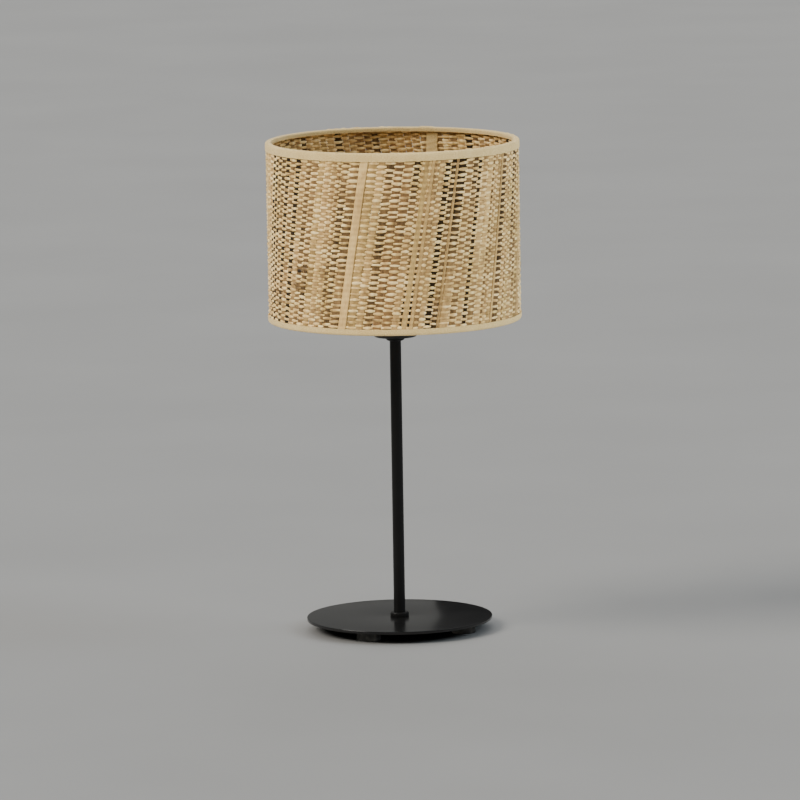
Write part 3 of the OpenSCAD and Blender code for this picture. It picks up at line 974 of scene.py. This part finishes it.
# %% Powder coat
def powder_coat(name, roughness, pebble, shine):
    material, tree, shader = new_material(name, Specular_IOR_Level=shine)
    peel = object_noise(tree, pebble, 2)
    cloud = object_noise(tree, 26, 3)
    dust = object_noise(tree, 900, 1)
    specks = between(tree, dust, 0, 0.5, 0.76, 0.84)
    paint(tree, shader, sum_of(tree, between(tree, cloud, 0.3, 0.5), specks),
          (17, 17, 17), (21, 21, 21), (42, 41, 39))
    tree.links.new(between(tree, cloud, roughness - 0.02, roughness + 0.03),
                   shader.inputs["Roughness"])
    bump(tree, shader, peel, 0.02 * MM, 0.3)
    return material


plate_coat = powder_coat("plate_coat", 0.18, 700, 0.35)
tube_coat = powder_coat("tube_coat", 0.34, 900, 0.14)

# %% Base plate and stem
PIPE_HOLE = 5.2


def span(node):
    """Lowest and highest height of a model node in millimetres, and its outer radius."""
    low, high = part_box(node)
    return low.z / MM, high.z / MM, (high.x - low.x) / 2 / MM


plate_low, plate_high, plate_radius = span("base_plate")
lathe("plate", eased([(PIPE_HOLE, plate_low), (plate_radius, plate_low), (plate_radius, plate_high),
                      (PIPE_HOLE, plate_high)], 0.7), plate_coat, "stand",
      ("base_plate",), steps=256)

TUBE_WALL = 0.6
tube_low, tube_high, tube_radius = span("stem_tube")
lathe("stem", eased([(tube_radius - TUBE_WALL, tube_low), (tube_radius, tube_low),
                     (tube_radius, tube_high), (tube_radius - TUBE_WALL, tube_high)], 0.2),
      tube_coat, "stand", ("stem_tube",), steps=96)

RING_STRAIGHT, RING_CHAMFER, RING_FIT = 2.9, 1.1, 0.08
for node, sign in (("base_collar", 1), ("top_collar", -1)):
    low, high, radius = span(node)
    foot, head = (low, high) if sign > 0 else (high, low)
    socket = tube_radius + RING_FIT
    profile = [(PIPE_HOLE, foot), (radius, foot), (radius, foot + sign * RING_STRAIGHT),
               (radius - RING_CHAMFER, head), (socket, head), (socket, foot + sign),
               (PIPE_HOLE, foot + sign)]
    lathe(node.replace("collar", "ring"), eased(profile, 0.5), tube_coat, "stand",
          (node,), steps=96)

# %% [markdown]
# ## Rubber feet
# Each foot is moulded rubber: a rounded tread edge, a shallow dish underneath that grips like a
# sucker, and a tapered side so that it comes out of its mould. One mesh could serve all four, but each
# piece keeps its place in its own mesh, so the lathe simply turns four.

# %% Feet
rubber, tree, shader = new_material("rubber", Specular_IOR_Level=0.35)
grime = object_noise(tree, 220, 3)
paint(tree, shader, grime, (24, 24, 24), (33, 33, 32), (50, 49, 47))
tree.links.new(between(tree, grime, 0.66, 0.84), shader.inputs["Roughness"])
bump(tree, shader, object_noise(tree, 1500, 2), 0.06 * MM, 0.5)

DISH_DEPTH, DISH_RADIUS, TREAD_RADIUS, FOOT_TAPER = 0.9, 6.5, 7.6, 0.35
for number in range(1, 5):
    node = f"foot_{number}"
    low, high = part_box(node)
    middle = ((low.x + high.x) / 2 / MM, (low.y + high.y) / 2 / MM)
    radius, top = (high.x - low.x) / 2 / MM, high.z / MM
    profile = [(0, DISH_DEPTH), (DISH_RADIUS, DISH_DEPTH), (TREAD_RADIUS, 0), (radius, 0),
               (radius - FOOT_TAPER, top), (0, top)]
    lathe(f"rubber_foot_{number}", eased(profile, 1.0), rubber, "stand", (node,),
          centre=middle, steps=96)

# %% [markdown]
# ## Plastics and metals
# The parts inside need finishes too, because they show from above and from below. Moulded plastic has
# a fine spark-eroded grain and slow swirls of gloss from its flow in the mould. Plated metal keeps the
# scratches of its handling, which stretch one way. Both come from noise at the real scale.

# %% Finish makers
def moulded(name, roughness, *colours, grain=1400, **shader_inputs):
    """Moulded plastic, enamel or glass: slow flow marks and a fine grain."""
    material, tree, shader = new_material(name, **shader_inputs)
    flow = object_noise(tree, 90, 3, (1, 1, 0.4))
    fine = object_noise(tree, grain, 2)
    mixed = sum_of(tree, between(tree, flow, 0.32, 0.62), between(tree, fine, -0.06, 0.06))
    paint(tree, shader, mixed, *colours)
    tree.links.new(between(tree, flow, roughness - 0.05, roughness + 0.06),
                   shader.inputs["Roughness"])
    bump(tree, shader, fine, 0.03 * MM, 0.35)
    return material


def plated(name, roughness, *colours, stretch=(1, 1, 6)):
    """Metal with long scratches, and a bloom where it has dulled."""
    material, tree, shader = new_material(name, Metallic=1.0)
    scratches = object_noise(tree, 420, 4, stretch)
    bloom = object_noise(tree, 130, 3)
    paint(tree, shader, sum_of(tree, between(tree, bloom, 0.3, 0.6),
                               between(tree, scratches, -0.08, 0.08)), *colours)
    tree.links.new(sum_of(tree, between(tree, scratches, roughness - 0.06, roughness + 0.08),
                          between(tree, bloom, 0, 0.1)), shader.inputs["Roughness"])
    bump(tree, shader, scratches, 0.02 * MM, 0.4)
    return material


# %% The finishes
FINISH = {
    "black_plastic": moulded("black_phenolic", 0.36, (17, 16, 16), (25, 24, 23), (38, 36, 34)),
    "ivory_plastic": moulded("ivory_ceramic", 0.42, (204, 196, 176), (221, 214, 196),
                             (232, 227, 212)),
    "white_wire": moulded("white_enamel", 0.33, (206, 201, 188), (224, 221, 211), (233, 231, 224),
                          grain=700),
    "black_glass": moulded("black_glass_bead", 0.13, (12, 12, 14), (20, 20, 23), (34, 34, 38)),
    "opal_glass": moulded("opal_glass_bulb", 0.12, (226, 224, 217), (237, 235, 229),
                          (243, 242, 238), grain=60, Coat_Weight=0.5, Coat_Roughness=0.06,
                          Subsurface_Weight=0.15, Subsurface_Scale=0.004),
    "brass": plated("turned_brass", 0.30, (148, 112, 52), (186, 149, 80), (208, 176, 108)),
    "zinc_steel": plated("zinc_plate", 0.34, (132, 134, 136), (168, 170, 172), (196, 197, 196)),
    "nickel": plated("nickel_plate", 0.22, (150, 147, 140), (186, 183, 175), (208, 205, 198)),
    "black_coat": tube_coat,
    "foot_rubber": rubber,
    "woven_fibre": weft_fibre,
    "trim_tape": tape_cloth,
}
for node in nodes.values():
    for place in node.material_slots:
        place.material = FINISH[place.material.name]
print("finishes", len(FINISH), "on", len(nodes), "model nodes")

# %% [markdown]
# ## The threads of the lampholder
# Two parts carry threads that the eye looks for: the lampholder's barrel, with a rounded thread for the
# clamp ring outside and the lamp thread inside, and the rolled screw shell of the bulb. Cutting a helix
# with a boolean is slow and leaves slivers. But a thread is only a wave whose crest climbs by one pitch
# in a turn, so the lathe adds that wave to the radius. Shell and barrel share one formula, so their
# threads still mesh when the bulb is turned.

# %% Threads
LAMP_PITCH = 3.629
CLAMP_PITCH = 2.5
THREAD_STEP = 0.34


def climb(turn, height, pitch):
    """1 on a right-hand thread's crest and -1 in its root."""
    return math.sin(2 * math.pi * height / pitch - turn)


def upright(radius, start, end):
    """Points from one height to another, close enough together to carry a thread."""
    count = max(round(abs(end - start) / THREAD_STEP), 1)
    return [(radius, start + (end - start) * i / count) for i in range(count + 1)]


def fade(height, low, high, run=1.6):
    """1 along a thread, falling to 0 at its two ends."""
    return max(0, min((height - low) / run, (high - height) / run, 1))


# %% Barrel
barrel_low, barrel_high, barrel_radius = span("lampholder_barrel")
GRIP_LOW, LAMP_LOW, LAMP_HIGH = barrel_low + 10, barrel_low + 28, barrel_low + 42
NECK, CAVITY, MOUTH, LAMP_BORE = 19, 16.5, 15, 13.5
CLAMP_DEPTH, LAMP_DEPTH = 0.24, 0.17


def barrel_groove(turn, radius, height):
    if radius > barrel_radius - 0.3:
        wave = (climb(turn, height, CLAMP_PITCH) - 1) * CLAMP_DEPTH
        return wave * fade(height, GRIP_LOW + 1, barrel_high - 0.6)
    if abs(radius - LAMP_BORE) < 0.1:
        wave = (climb(turn, height, LAMP_PITCH) - 1) * LAMP_DEPTH
        return wave * fade(height, LAMP_LOW, LAMP_HIGH, 1.0)
    return 0


barrel_line = [(CAVITY, barrel_low), (NECK, barrel_low), (NECK, GRIP_LOW),
               (barrel_radius - 0.5, GRIP_LOW)]
barrel_line += upright(barrel_radius, GRIP_LOW + 0.5, barrel_high - 0.7)
barrel_line += [(barrel_radius - 0.7, barrel_high), (MOUTH + 0.5, barrel_high),
                (MOUTH, barrel_high - 0.5), (MOUTH, LAMP_HIGH + 0.4), (14.6, LAMP_HIGH)]
barrel_line += upright(LAMP_BORE, LAMP_HIGH, LAMP_LOW)
barrel_line += [(CAVITY, LAMP_LOW)]
lathe("barrel", barrel_line, FINISH["black_plastic"], "stand",
      ("lampholder_barrel",), steps=120, groove=barrel_groove)

# %% Screw shell of the bulb
shell_low, shell_high, shell_radius = span("bulb_screw_shell")
SHELL_WALL, SHELL_DEPTH, SHELL_FOOT = 0.4, 0.34, 9.05
shoulder = shell_low + 2.5


def shell_groove(turn, radius, height):
    if radius < shell_radius - SHELL_WALL - 0.01:
        return 0
    wave = (climb(turn, height, LAMP_PITCH) - 1) * SHELL_DEPTH
    return wave * fade(height, shoulder, shell_high - 1.2)


shell_line = [(SHELL_FOOT, shell_low)] + upright(shell_radius, shoulder, shell_high)
shell_line += upright(shell_radius - SHELL_WALL, shell_high, shoulder + 0.1)
shell_line += [(SHELL_FOOT - 0.3, shell_low + 0.25)]
lathe("screw_shell", shell_line, FINISH["nickel"], "bulb", ("bulb_screw_shell",),
      steps=120, groove=shell_groove)
